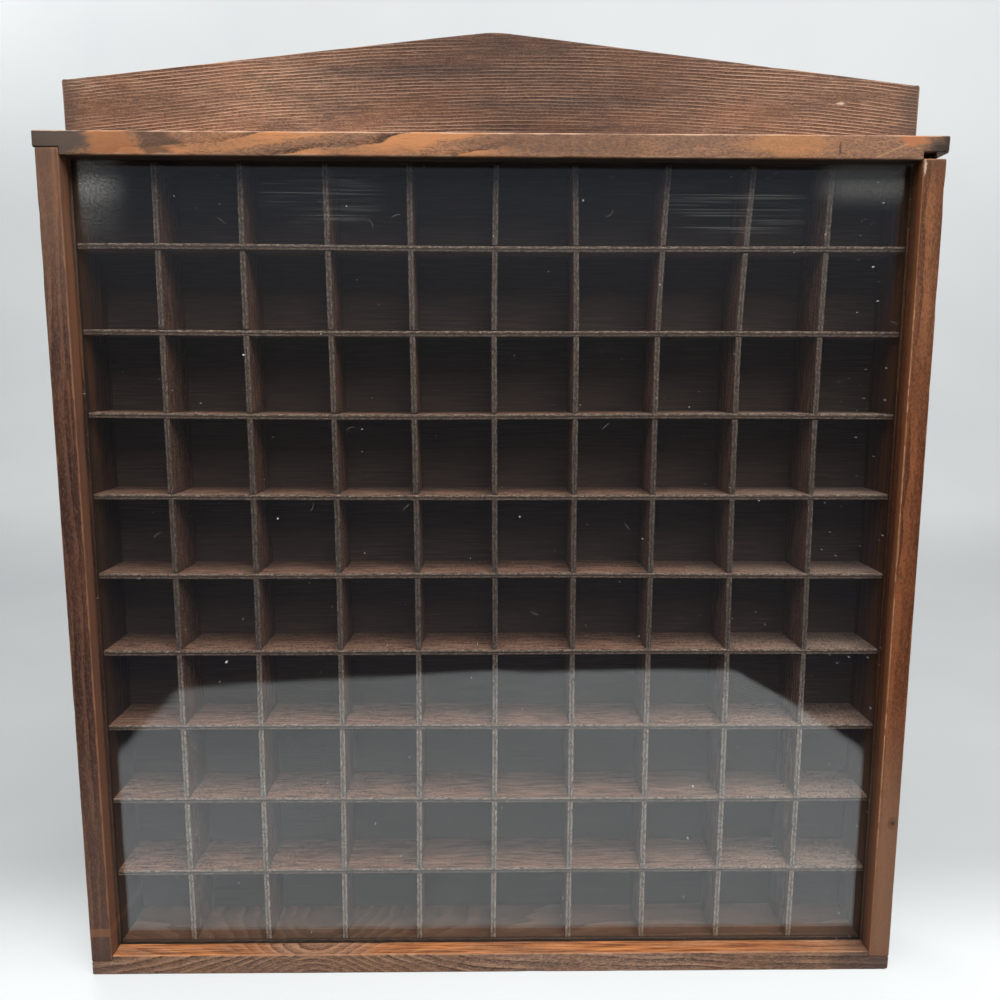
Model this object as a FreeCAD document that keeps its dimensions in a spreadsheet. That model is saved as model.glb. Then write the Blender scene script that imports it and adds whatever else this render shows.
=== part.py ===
import FreeCAD, Part
import os
from enum import IntEnum

import Sketcher

# A shallow wall case for miniatures. A box of four boards holds an egg-crate of thin crossed strips,
# a glass pane slides down through the top board into grooves behind the front lip, a thin panel closes
# the back and a low pediment stands on the top board.
#
# Each piece is drawn with x across, y inwards from the case's front and z up from the base. Its placement
# then brings the middle of the depth to y = 0, so the origin is the middle of the base.

# Driving dimensions in millimetres, and counts: name, value, meaning
SIZES = (
    ("case_width", 390, "width over the two side boards"),
    ("case_height", 392, "height of the box, without the pediment"),
    ("case_depth", 44, "depth of the box"),
    ("board_thick", 10, "thickness of the four boards of the box"),
    ("end_rabbet", 3, "depth of the end rabbets that the side boards are seated in"),
    ("joint_gap", 2.5, "opening of the loosened joint on top of the right side board"),
    ("top_overhang", 1, "reach of the top board and the pediment past each side board"),
    ("lip_depth", 9.5, "wood in front of the glass groove"),
    ("groove_width", 3, "width of the glass groove"),
    ("groove_depth", 4, "depth of the glass groove in the boards"),
    ("glass_thick", 2, "thickness of the glass"),
    ("glass_back_gap", 0.3, "room between the glass and the back of its groove"),
    ("glass_edge_gap", 0.5, "room between the glass and the bottom of each side groove"),
    ("glass_seat_gap", 0.1, "room under the glass"),
    ("glass_proud", 2, "reach of the glass above the top board, to lift it by"),
    ("column_count", 10, "compartments across"),
    ("row_count", 10, "compartments up"),
    ("strip_thick", 2.5, "thickness of the strips of the egg-crate"),
    ("strip_fit", 0.1, "room on each side of a strip in a slot, and at its ends"),
    ("grid_gap", 0.5, "room between the glass groove and the strips"),
    ("back_thick", 3, "thickness of the back panel"),
    ("back_ledge", 5, "width of the rabbet that the back panel lies in"),
    ("back_fit", 0.2, "room around the back panel"),
    ("pediment_thick", 12, "thickness of the pediment"),
    ("pediment_end_height", 30, "height of the pediment at its ends"),
    ("pediment_peak_height", 52, "height at which the pediment's two slopes meet"),
    ("peak_radius", 70, "rounding of the pediment's peak"),
    ("corner_radius", 1.3, "rounding of the pediment's upper corners"),
    ("hole_fit", 0.05, "room around a brad or screw in its hole"),
    ("head_sink", 0.2, "depth of a brad or screw head below the surface"),
    ("brad_radius", 0.7, "radius of a brad"),
    ("brad_head_radius", 1.2, "radius of a brad's head"),
    ("brad_head_thick", 0.7, "thickness of a brad's head"),
    ("corner_brad_length", 20, "length of the brads in the box's corners"),
    ("back_brad_length", 9, "length of the brads in the back panel"),
    ("side_brad_count", 4, "brads along each side of the back panel"),
    ("screw_radius", 1.5, "radius of a pediment screw"),
    ("screw_head_radius", 2.6, "radius of a pediment screw's head"),
    ("screw_head_thick", 1.6, "thickness of a pediment screw's head"),
    ("screw_length", 28, "length of a pediment screw"),
    ("screw_edge", 0.4, "wood between a pediment screw's head and the back panel"),
    ("hanger_width", 16, "width of a hanger plate"),
    ("hanger_height", 28, "height of a hanger plate"),
    ("hanger_thick", 1.2, "thickness of a hanger plate"),
    ("hanger_corner", 3, "corner radius of a hanger plate"),
    ("hanger_fit", 0.1, "room around a hanger plate in its recess"),
    ("keyhole_radius", 4, "radius of the keyhole's entry hole"),
    ("keyhole_drop", 3, "distance of the entry hole below the plate's middle"),
    ("keyhole_slot_radius", 2, "half the width of the keyhole's slot"),
    ("keyhole_rise", 7.5, "height of the slot's end above the entry hole"),
    ("mortise_margin", 1.5, "room around the keyhole in the mortise behind the plate"),
    ("mortise_depth", 5, "depth of the mortise behind a hanger plate"),
    ("hanger_screw_reach", 11, "distance of a hanger screw from the plate's middle"),
    ("hanger_screw_radius", 1.1, "radius of a hanger screw"),
    ("hanger_screw_head_radius", 2.2, "radius of a hanger screw's head"),
    ("hanger_screw_head_thick", 0.7, "thickness of a hanger screw's head"),
    ("hanger_screw_length", 9, "length of a hanger screw"),
)

doc = FreeCAD.newDocument("DisplayCase")
sheet = doc.addObject("Spreadsheet::Sheet", "Sizes")
for row, (alias, value, meaning) in enumerate(SIZES, start=1):
    sheet.set(f"A{row}", meaning)
    sheet.set(f"B{row}", str(value))
    sheet.setAlias(f"B{row}", alias)
doc.recompute()

# Places that several pieces share, as expressions of the driving dimensions
OUTER = "Sizes.case_width / 2"
INNER = f"({OUTER} - Sizes.board_thick)"
TOP_END = f"({OUTER} + Sizes.top_overhang)"
TOP = "Sizes.case_height"
DEPTH = "Sizes.case_depth"
FLOOR = "Sizes.board_thick"
CEILING = f"({TOP} - Sizes.board_thick)"
RABBET_FLOOR = f"({FLOOR} - Sizes.end_rabbet)"
RABBET_CEILING = f"({CEILING} + Sizes.end_rabbet)"
GROOVE_FRONT = "Sizes.lip_depth"
GROOVE_BACK = "(Sizes.lip_depth + Sizes.groove_width)"
GROOVE_END = f"({INNER} + Sizes.groove_depth)"
PANEL_FRONT = f"({DEPTH} - Sizes.back_thick)"
LEDGE_END = f"({INNER} + Sizes.back_ledge)"
GRID_FRONT = f"({GROOVE_BACK} + Sizes.grid_gap)"
GRID_MIDDLE = f"(({GRID_FRONT} + {PANEL_FRONT}) / 2)"
PITCH_X = f"((2 * {INNER} + Sizes.strip_thick) / Sizes.column_count)"
PITCH_Z = f"(({CEILING} - {FLOOR} + Sizes.strip_thick) / Sizes.row_count)"
SLOT_HALF = "(Sizes.strip_thick / 2 + Sizes.strip_fit)"

# Compartments, counted from the middle of the case, under which the pediment screws go in,
# and dividers behind which the brads of the panel's upper and lower edges sit
SCREW_COLUMNS = (-3.5, -1.5, 1.5, 3.5)
EDGE_BRAD_COLUMNS = (-3, 0, 3)
SCREW_DEPTH = f"({PANEL_FRONT} - Sizes.screw_head_radius - Sizes.screw_edge)"

# A hanger plate sits midway between two pediment screws, at half the pediment's height there
HANGER_COLUMNS = (-2.5, 2.5)
HANGER_X = f"({HANGER_COLUMNS[1]} * {PITCH_X})"
PEDIMENT_RISE = "(Sizes.pediment_peak_height - Sizes.pediment_end_height)"
HANGER_Z = f"({TOP} + (Sizes.pediment_end_height + {PEDIMENT_RISE} * (1 - {HANGER_X} / {TOP_END})) / 2)"
KEYHOLE_Z = f"({HANGER_Z} - Sizes.keyhole_drop)"
KEYHOLE_END_Z = f"({KEYHOLE_Z} + Sizes.keyhole_rise)"


# How a sketch names its own origin
SKETCH_ORIGIN = -1

# Two points this near count as one
SAME_POINT = 1e-4


class SketchPoint(IntEnum):
    """How a sketch names the points of a line or circle."""

    START = 1
    END = 2
    CENTRE = 3


def origin_feature(body, role):
    """The plane or axis of a body's own origin that has this role."""
    return [feature for feature in body.Origin.OriginFeatures if feature.Role == role][0]


def new_body(label):
    """An empty piece, placed so that the middle of the case's depth lies at y = 0."""
    body = doc.addObject("PartDesign::Body", label)
    body.Label = label
    body.setExpression("Placement.Base.y", f"-{DEPTH} / 2")
    return body


def new_sketch(body, name, role, offset):
    """An empty sketch on a plane of the body's origin, moved along that plane's normal."""
    sketch = body.newObject("Sketcher::SketchObject", name)
    sketch.AttachmentSupport = (origin_feature(body, role), [""])
    sketch.MapMode = "FlatFace"
    sketch.setExpression("AttachmentOffset.Base.z", offset)
    return sketch


def bind(sketch, constraint, expression):
    """Adds a constraint to a sketch and ties its value to an expression."""
    index = sketch.addConstraint(constraint)
    sketch.setExpression(f"Constraints[{index}]", expression)


def bind_point(sketch, geometry, position, place):
    """Ties a point of a sketch to its two distances from the sketch's origin."""
    across, up = place
    for kind, distance in (("DistanceX", across), ("DistanceY", up)):
        constraint = Sketcher.Constraint(kind, SKETCH_ORIGIN, SketchPoint.START, geometry, position, 1.0)
        bind(sketch, constraint, distance)


def polygon(body, name, role, offset, corners):
    """A closed outline of straight lines through the corners."""
    sketch = new_sketch(body, name, role, offset)
    count = len(corners)
    for number in range(count):
        following = (number + 1) % count
        start = FreeCAD.Vector(number, number * number, 0)
        end = FreeCAD.Vector(following, following * following, 0)
        sketch.addGeometry(Part.LineSegment(start, end))
    for number, corner in enumerate(corners):
        following = (number + 1) % count
        meeting = Sketcher.Constraint("Coincident", number, SketchPoint.END, following, SketchPoint.START)
        sketch.addConstraint(meeting)
        bind_point(sketch, number, SketchPoint.START, corner)
    return sketch


def rectangle(body, name, role, offset, across, up):
    """A rectangle between two values each way."""
    left, right = across
    low, high = up
    return polygon(body, name, role, offset, [(left, low), (right, low), (right, high), (left, high)])


def circles(body, name, role, offset, centres, radius):
    """Circles of one radius."""
    sketch = new_sketch(body, name, role, offset)
    for number, centre in enumerate(centres):
        start = FreeCAD.Vector(number, 0, 0)
        geometry = sketch.addGeometry(Part.Circle(start, FreeCAD.Vector(0, 0, 1), 1.0))
        bind_point(sketch, geometry, SketchPoint.CENTRE, centre)
        bind(sketch, Sketcher.Constraint("Radius", geometry, 1.0), radius)
    return sketch


def pad(body, sketch, length, along=True):
    """Adds material from a sketch, along its normal or against it."""
    feature = body.newObject("PartDesign::Pad", f"{sketch.Name}_pad")
    feature.Profile = sketch
    feature.setExpression("Length", length)
    feature.Reversed = not along
    return feature


def cut(body, sketch, length, along=True):
    """Takes material away from a sketch, along its normal or against it, and makes sure that it did."""
    doc.recompute()
    volume = body.Shape.Volume
    feature = body.newObject("PartDesign::Pocket", f"{sketch.Name}_cut")
    feature.Profile = sketch
    feature.setExpression("Length", length)
    feature.Reversed = along
    doc.recompute()
    if not body.Shape.Volume < volume:
        raise ValueError(f"{feature.Name} takes nothing away")
    return feature


def block(label, across, inwards, up):
    """A new piece that starts as a straight board."""
    body = new_body(label)
    low, high = up
    pad(body, rectangle(body, f"{label}_outline", "XY_Plane", low, across, inwards), f"{high} - {low}")
    return body


def cut_block(body, name, across, inwards, up):
    """Cuts a straight-sided space out of a piece."""
    low, high = up
    outline = rectangle(body, f"{body.Name}_{name}", "XY_Plane", low, across, inwards)
    return cut(body, outline, f"{high} - {low}")


def round_edges(body, name, radius, places):
    """Rounds the edges that run inwards through the places, each given by its x and z."""
    doc.recompute()
    base = body.Tip
    chosen = []
    for number, edge in enumerate(base.Shape.Edges, start=1):
        for x, z in places:
            points = [vertex.Point for vertex in edge.Vertexes]
            if all(point.isEqual(FreeCAD.Vector(x, point.y, z), SAME_POINT) for point in points):
                chosen.append(f"Edge{number}")
    if len(chosen) != len(places):
        raise ValueError(f"{name} finds {len(chosen)} edges for {len(places)} places")
    feature = body.newObject("PartDesign::Fillet", f"{body.Name}_{name}")
    feature.Base = (base, chosen)
    feature.setExpression("Radius", radius)
    return feature


class Fasteners:
    """A group of equal headed fasteners that are driven in one direction from one surface.

    The kind gives the names of their sizes. Each place has the name of the piece that its point ends in.
    """

    def __init__(self, label, kind, length, role, surface, along, places):
        self.label = label
        self.length = length
        self.role = role
        self.surface = surface
        self.along = along
        self.places = places
        self.radius = f"Sizes.{kind}_radius"
        self.head_radius = f"Sizes.{kind}_head_radius"
        self.head_thick = f"Sizes.{kind}_head_thick"

    def centres(self, piece=None):
        """Centres of the fasteners that end in a piece, or of all."""
        return [centre for ends_in, centre in self.places if piece in (None, ends_in)]

    def make(self):
        """The fasteners themselves, with their heads just below the surface."""
        body = new_body(self.label)
        sign = "+" if self.along else "-"
        start = f"{self.surface} {sign} Sizes.head_sink"
        heads = circles(body, f"{self.label}_heads", self.role, start, self.centres(), self.head_radius)
        pad(body, heads, self.head_thick, self.along)
        shanks = circles(body, f"{self.label}_shanks", self.role, start, self.centres(), self.radius)
        pad(body, shanks, self.length, self.along)
        return body

    def drill(self, body, piece=None):
        """Cuts the shanks' holes in a piece."""
        name = f"{body.Name}_{self.label}_holes"
        radius = f"{self.radius} + Sizes.hole_fit"
        holes = circles(body, name, self.role, self.surface, self.centres(piece), radius)
        cut(body, holes, f"Sizes.head_sink + {self.length} + Sizes.hole_fit", self.along)

    def sink(self, body, piece=None):
        """Cuts the heads' holes in a piece."""
        name = f"{body.Name}_{self.label}_heads"
        radius = f"{self.head_radius} + Sizes.hole_fit"
        holes = circles(body, name, self.role, self.surface, self.centres(piece), radius)
        cut(body, holes, f"Sizes.head_sink + {self.head_thick} + Sizes.hole_fit", self.along)


def mirrored(expression):
    """The same distance to the left of the middle."""
    return f"-{expression}"


# The corner brads go in at the middle of the side boards' thickness, in the lip and behind the glass
BRAD_X = f"({OUTER} - Sizes.board_thick / 2)"
BRAD_DEPTHS = (f"{GROOVE_FRONT} / 2", f"({GROOVE_BACK} + {PANEL_FRONT}) / 2")
corner_places = [("left_side", (mirrored(BRAD_X), inwards)) for inwards in BRAD_DEPTHS]
corner_places += [("right_side", (BRAD_X, inwards)) for inwards in BRAD_DEPTHS]

# The panel's brads run round it in the middle of its ledge
LEDGE_X = f"({INNER} + Sizes.back_ledge / 2)"
LEDGE_LOW = f"({FLOOR} - Sizes.back_ledge / 2)"
LEDGE_HIGH = f"({CEILING} + Sizes.back_ledge / 2)"
panel_places = []
for number in range(int(sheet.side_brad_count)):
    height = f"{FLOOR} + {number + 0.5} * ({CEILING} - {FLOOR}) / Sizes.side_brad_count"
    panel_places.append(("left_side", (mirrored(LEDGE_X), height)))
    panel_places.append(("right_side", (LEDGE_X, height)))
for column in EDGE_BRAD_COLUMNS:
    panel_places.append(("bottom_board", (f"{column} * {PITCH_X}", LEDGE_LOW)))
    panel_places.append(("top_board", (f"{column} * {PITCH_X}", LEDGE_HIGH)))

screw_places = [("pediment", (f"{column} * {PITCH_X}", SCREW_DEPTH)) for column in SCREW_COLUMNS]

hanger_screw_places = []
for hanger, hanger_x in (("hanger_plate_left", mirrored(HANGER_X)), ("hanger_plate_right", HANGER_X)):
    for sign in ("+", "-"):
        height = f"{HANGER_Z} {sign} Sizes.hanger_screw_reach"
        hanger_screw_places.append((hanger, (hanger_x, height)))

BACK = mirrored(DEPTH)
corner_brads_top = Fasteners(
    "corner_brads_top", "brad", "Sizes.corner_brad_length", "XY_Plane", TOP, False, corner_places)
corner_brads_bottom = Fasteners(
    "corner_brads_bottom", "brad", "Sizes.corner_brad_length", "XY_Plane", "0", True, corner_places)
back_panel_brads = Fasteners(
    "back_panel_brads", "brad", "Sizes.back_brad_length", "XZ_Plane", BACK, True, panel_places)
pediment_screws = Fasteners(
    "pediment_screws", "screw", "Sizes.screw_length", "XY_Plane", CEILING, True, screw_places)
hanger_screws = Fasteners(
    "hanger_screws", "hanger_screw", "Sizes.hanger_screw_length", "XZ_Plane", BACK, True,
    hanger_screw_places)


def make_bottom_board():
    """The bottom board: end rabbets, a glass groove and a rabbet for the back panel."""
    board = block("bottom_board", (mirrored(OUTER), OUTER), ("0", DEPTH), ("0", FLOOR))
    cut_block(board, "left_rabbet", (mirrored(OUTER), mirrored(INNER)), ("0", DEPTH), (RABBET_FLOOR, FLOOR))
    cut_block(board, "right_rabbet", (INNER, OUTER), ("0", DEPTH), (RABBET_FLOOR, FLOOR))
    cut_block(board, "glass_groove", (mirrored(GROOVE_END), GROOVE_END), (GROOVE_FRONT, GROOVE_BACK),
              (f"({FLOOR} - Sizes.groove_depth)", FLOOR))
    cut_block(board, "panel_rabbet", (mirrored(LEDGE_END), LEDGE_END), (PANEL_FRONT, DEPTH),
              (f"({FLOOR} - Sizes.back_ledge)", FLOOR))
    corner_brads_bottom.drill(board)
    corner_brads_bottom.sink(board)
    back_panel_brads.drill(board, "bottom_board")
    return board


def make_top_board():
    """The top board: as the bottom board, but the glass passes right through it."""
    board = block("top_board", (mirrored(TOP_END), TOP_END), ("0", DEPTH), (CEILING, TOP))
    cut_block(board, "left_rabbet", (mirrored(TOP_END), mirrored(INNER)), ("0", DEPTH),
              (CEILING, RABBET_CEILING))
    cut_block(board, "right_rabbet", (INNER, TOP_END), ("0", DEPTH), (CEILING, RABBET_CEILING))
    cut_block(board, "glass_slot", (mirrored(GROOVE_END), GROOVE_END), (GROOVE_FRONT, GROOVE_BACK),
              (CEILING, TOP))
    cut_block(board, "panel_rabbet", (mirrored(LEDGE_END), LEDGE_END), (PANEL_FRONT, DEPTH),
              (CEILING, f"({CEILING} + Sizes.back_ledge)"))
    corner_brads_top.drill(board)
    corner_brads_top.sink(board)
    back_panel_brads.drill(board, "top_board")
    pediment_screws.drill(board)
    pediment_screws.sink(board)
    return board


def make_side(label, side, upper_end):
    """A side board, with a groove for the glass and a rabbet for the back panel on its inner face."""

    def across(inner, outer):
        return (mirrored(outer), mirrored(inner)) if side == "left" else (inner, outer)

    up = (RABBET_FLOOR, upper_end)
    board = block(label, across(INNER, OUTER), ("0", DEPTH), up)
    cut_block(board, "glass_groove", across(INNER, GROOVE_END), (GROOVE_FRONT, GROOVE_BACK), up)
    cut_block(board, "panel_rabbet", across(INNER, LEDGE_END), (PANEL_FRONT, DEPTH), up)
    corner_brads_top.drill(board, label)
    corner_brads_bottom.drill(board, label)
    back_panel_brads.drill(board, label)
    return board


def make_pediment():
    """The pediment: two straight slopes to a rounded peak, with recesses behind for the hangers."""
    ends = f"({TOP} + Sizes.pediment_end_height)"
    peak = f"({TOP} + Sizes.pediment_peak_height)"
    board = new_body("pediment")
    left = mirrored(TOP_END)
    corners = [(left, TOP), (TOP_END, TOP), (TOP_END, ends), ("0", peak), (left, ends)]
    pad(board, polygon(board, "pediment_outline", "XZ_Plane", BACK, corners), "Sizes.pediment_thick")
    end_x = sheet.case_width / 2 + sheet.top_overhang
    end_z = sheet.case_height + sheet.pediment_end_height
    peak_z = sheet.case_height + sheet.pediment_peak_height
    round_edges(board, "peak_rounding", "Sizes.peak_radius", [(0, peak_z)])
    round_edges(board, "corner_rounding", "Sizes.corner_radius", [(-end_x, end_z), (end_x, end_z)])
    for side, hanger_x in (("left", mirrored(HANGER_X)), ("right", HANGER_X)):
        half_width = "(Sizes.hanger_width / 2 + Sizes.hanger_fit)"
        half_height = "(Sizes.hanger_height / 2 + Sizes.hanger_fit)"
        recess = rectangle(
            board, f"hanger_recess_{side}", "XZ_Plane", BACK,
            (f"{hanger_x} - {half_width}", f"{hanger_x} + {half_width}"),
            (f"{HANGER_Z} - {half_height}", f"{HANGER_Z} + {half_height}"))
        cut(board, recess, "Sizes.hanger_thick")
        half_mortise = "(Sizes.keyhole_radius + Sizes.mortise_margin)"
        mortise_top = f"{KEYHOLE_END_Z} + Sizes.keyhole_slot_radius + Sizes.mortise_margin"
        mortise = rectangle(
            board, f"hanger_mortise_{side}", "XZ_Plane", BACK,
            (f"{hanger_x} - {half_mortise}", f"{hanger_x} + {half_mortise}"),
            (f"{KEYHOLE_Z} - {half_mortise}", mortise_top))
        cut(board, mortise, "Sizes.hanger_thick + Sizes.mortise_depth")
    pediment_screws.drill(board)
    hanger_screws.drill(board)
    return board


def make_back_panel():
    """The thin panel that closes the back, flush with the boards."""
    half = f"({LEDGE_END} - Sizes.back_fit)"
    low = f"({FLOOR} - Sizes.back_ledge + Sizes.back_fit)"
    high = f"({CEILING} + Sizes.back_ledge - Sizes.back_fit)"
    panel = block("back_panel", (mirrored(half), half), (PANEL_FRONT, DEPTH), (low, high))
    back_panel_brads.drill(panel)
    back_panel_brads.sink(panel)
    return panel


def make_glass_pane():
    """The pane, near the back of its groove."""
    half = f"({GROOVE_END} - Sizes.glass_edge_gap)"
    back = f"({GROOVE_BACK} - Sizes.glass_back_gap)"
    low = f"({FLOOR} - Sizes.groove_depth + Sizes.glass_seat_gap)"
    high = f"({TOP} + Sizes.glass_proud)"
    return block("glass_pane", (mirrored(half), half), (f"({back} - Sizes.glass_thick)", back), (low, high))


def repeat_slot(body, slot, axis, pitch, count):
    """Repeats a slot along a strip."""
    pattern = body.newObject("PartDesign::LinearPattern", f"{body.Name}_slots")
    pattern.Originals = [slot]
    pattern.Direction = (origin_feature(body, axis), [""])
    pattern.setExpression("Length", f"{pitch} * ({count} - 2)")
    pattern.setExpression("Occurrences", f"{count} - 1")
    body.Tip = pattern


def make_shelf(number):
    """A level strip, slotted from behind over each divider."""
    half = f"({INNER} - Sizes.strip_fit)"
    middle = f"({FLOOR} - Sizes.strip_thick / 2 + {number} * {PITCH_Z})"
    low = f"({middle} - Sizes.strip_thick / 2)"
    high = f"({middle} + Sizes.strip_thick / 2)"
    shelf = block(f"shelf_{number}", (mirrored(half), half), (GRID_FRONT, PANEL_FRONT), (low, high))
    first = f"({PITCH_X} - Sizes.strip_thick / 2 - {INNER})"
    slot = cut_block(shelf, "slot", (f"{first} - {SLOT_HALF}", f"{first} + {SLOT_HALF}"),
                     (f"{GRID_MIDDLE} - Sizes.strip_fit", PANEL_FRONT), (low, high))
    repeat_slot(shelf, slot, "X_Axis", PITCH_X, "Sizes.column_count")
    return shelf


def make_divider(number):
    """An upright strip, slotted from the front over each shelf."""
    middle = f"({number} * {PITCH_X} - Sizes.strip_thick / 2 - {INNER})"
    across = (f"{middle} - Sizes.strip_thick / 2", f"{middle} + Sizes.strip_thick / 2")
    low = f"({FLOOR} + Sizes.strip_fit)"
    high = f"({CEILING} - Sizes.strip_fit)"
    divider = block(f"divider_{number}", across, (GRID_FRONT, PANEL_FRONT), (low, high))
    first = f"({FLOOR} - Sizes.strip_thick / 2 + {PITCH_Z})"
    slot = cut_block(divider, "slot", across, (GRID_FRONT, f"{GRID_MIDDLE} + Sizes.strip_fit"),
                     (f"({first} - {SLOT_HALF})", f"({first} + {SLOT_HALF})"))
    repeat_slot(divider, slot, "Z_Axis", PITCH_Z, "Sizes.row_count")
    return divider


def make_hanger_plate(label, hanger_x):
    """A steel keyhole plate, flush with the pediment's back."""
    plate = new_body(label)
    half_width = "Sizes.hanger_width / 2"
    half_height = "Sizes.hanger_height / 2"
    outline = rectangle(
        plate, f"{label}_outline", "XZ_Plane", BACK,
        (f"{hanger_x} - {half_width}", f"{hanger_x} + {half_width}"),
        (f"{HANGER_Z} - {half_height}", f"{HANGER_Z} + {half_height}"))
    pad(plate, outline, "Sizes.hanger_thick")
    doc.recompute()
    bounds = plate.Tip.Shape.BoundBox
    corners = [(x, z) for x in (bounds.XMin, bounds.XMax) for z in (bounds.ZMin, bounds.ZMax)]
    round_edges(plate, "corner_rounding", "Sizes.hanger_corner", corners)
    entry_centre = (hanger_x, KEYHOLE_Z)
    entry = circles(plate, f"{label}_entry", "XZ_Plane", BACK, [entry_centre], "Sizes.keyhole_radius")
    cut(plate, entry, "Sizes.hanger_thick")
    slot = rectangle(
        plate, f"{label}_slot", "XZ_Plane", BACK,
        (f"{hanger_x} - Sizes.keyhole_slot_radius", f"{hanger_x} + Sizes.keyhole_slot_radius"),
        (KEYHOLE_Z, KEYHOLE_END_Z))
    cut(plate, slot, "Sizes.hanger_thick")
    end_centre = (hanger_x, KEYHOLE_END_Z)
    slot_end = circles(
        plate, f"{label}_slot_end", "XZ_Plane", BACK, [end_centre], "Sizes.keyhole_slot_radius")
    cut(plate, slot_end, "Sizes.hanger_thick")
    hanger_screws.drill(plate, label)
    hanger_screws.sink(plate, label)
    return plate


pieces = [
    make_bottom_board(),
    make_top_board(),
    make_side("left_side", "left", RABBET_CEILING),
    make_side("right_side", "right", f"({RABBET_CEILING} - Sizes.joint_gap)"),
    make_pediment(),
    make_back_panel(),
    make_glass_pane(),
    make_hanger_plate("hanger_plate_left", mirrored(HANGER_X)),
    make_hanger_plate("hanger_plate_right", HANGER_X),
]
pieces += [make_shelf(number) for number in range(1, int(sheet.row_count))]
pieces += [make_divider(number) for number in range(1, int(sheet.column_count))]
for group in (corner_brads_top, corner_brads_bottom, back_panel_brads, pediment_screws, hanger_screws):
    pieces.append(group.make())

doc.recompute()
for item in doc.Objects:
    if "Invalid" in item.State or "Error" in item.State:
        raise ValueError(f"{item.Name} failed: {item.State}")
for piece in pieces:
    if piece.Shape.isNull() or not piece.Shape.isValid():
        raise ValueError(f"{piece.Label} has no valid shape")

os.makedirs("parts", exist_ok=True)
for piece in pieces:
    piece.Shape.exportStep(f"parts/{piece.Label}.step")
    bounds = piece.Shape.BoundBox
    print(f"{piece.Label}: {len(piece.Shape.Solids)} solids, {piece.Shape.Volume:.1f} mm3, "
          f"x {bounds.XMin:.2f} to {bounds.XMax:.2f}, y {bounds.YMin:.2f} to {bounds.YMax:.2f}, "
          f"z {bounds.ZMin:.2f} to {bounds.ZMax:.2f}")
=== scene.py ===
import math
import random
from dataclasses import dataclass

import bmesh
import bpy
from mathutils import Matrix, Vector, noise


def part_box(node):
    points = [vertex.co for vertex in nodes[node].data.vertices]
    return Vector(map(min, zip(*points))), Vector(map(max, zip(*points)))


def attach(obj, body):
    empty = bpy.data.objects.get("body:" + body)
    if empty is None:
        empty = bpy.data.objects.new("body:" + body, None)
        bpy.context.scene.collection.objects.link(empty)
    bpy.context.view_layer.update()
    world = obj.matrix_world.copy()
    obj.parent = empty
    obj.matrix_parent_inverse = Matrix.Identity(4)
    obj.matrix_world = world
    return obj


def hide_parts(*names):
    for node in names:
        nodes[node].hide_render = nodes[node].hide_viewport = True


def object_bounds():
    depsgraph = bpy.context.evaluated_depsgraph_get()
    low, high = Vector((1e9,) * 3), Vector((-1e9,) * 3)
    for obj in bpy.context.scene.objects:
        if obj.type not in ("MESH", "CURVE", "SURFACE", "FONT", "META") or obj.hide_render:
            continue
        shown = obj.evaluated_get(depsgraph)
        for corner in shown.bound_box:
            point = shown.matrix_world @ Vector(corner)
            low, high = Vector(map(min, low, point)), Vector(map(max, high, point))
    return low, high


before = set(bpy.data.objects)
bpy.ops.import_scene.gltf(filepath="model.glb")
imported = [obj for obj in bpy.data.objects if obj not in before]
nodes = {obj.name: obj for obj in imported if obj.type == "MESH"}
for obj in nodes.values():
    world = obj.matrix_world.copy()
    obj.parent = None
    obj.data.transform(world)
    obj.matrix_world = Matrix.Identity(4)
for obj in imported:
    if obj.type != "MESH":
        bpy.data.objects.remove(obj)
cad_low, cad_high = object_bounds()

MM = 0.001
# Every run makes the same lumps
noise.seed_set(5)
SHELVES = sorted(name for name in nodes if name.startswith("shelf_"))
DIVIDERS = sorted(name for name in nodes if name.startswith("divider_"))

# Places on the case, in millimetres, read from the frame
FRONT = cad_low.y / MM
LEFT_END, RIGHT_END = cad_low.x / MM, cad_high.x / MM
SIDE_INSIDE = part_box("right_side")[0].x / MM
FLOOR_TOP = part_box("bottom_board")[1].z / MM
OPENING_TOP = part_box("top_board")[0].z / MM
BOX_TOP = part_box("top_board")[1].z / MM
TOP_MIDDLE = (OPENING_TOP + BOX_TOP) / 2
PEDIMENT_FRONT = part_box("pediment")[0].y / MM
GLASS_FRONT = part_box("glass_pane")[0].y / MM
GRID_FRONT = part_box("shelf_1")[0].y / MM
PANEL_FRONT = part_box("back_panel")[0].y / MM


def ahead_of_glass(distance):
    """The depth that lies so many millimetres in front of the pane's face, or behind it if negative."""
    return GLASS_FRONT - distance


def srgb(red, green, blue):
    """The linear colour for one given as it looks on a screen, each part from 0 to 255."""

    def linear(value):
        share = value / 255
        return share / 12.92 if share <= 0.04045 else ((share + 0.055) / 1.055) ** 2.4

    return (linear(red), linear(green), linear(blue), 1)


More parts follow.
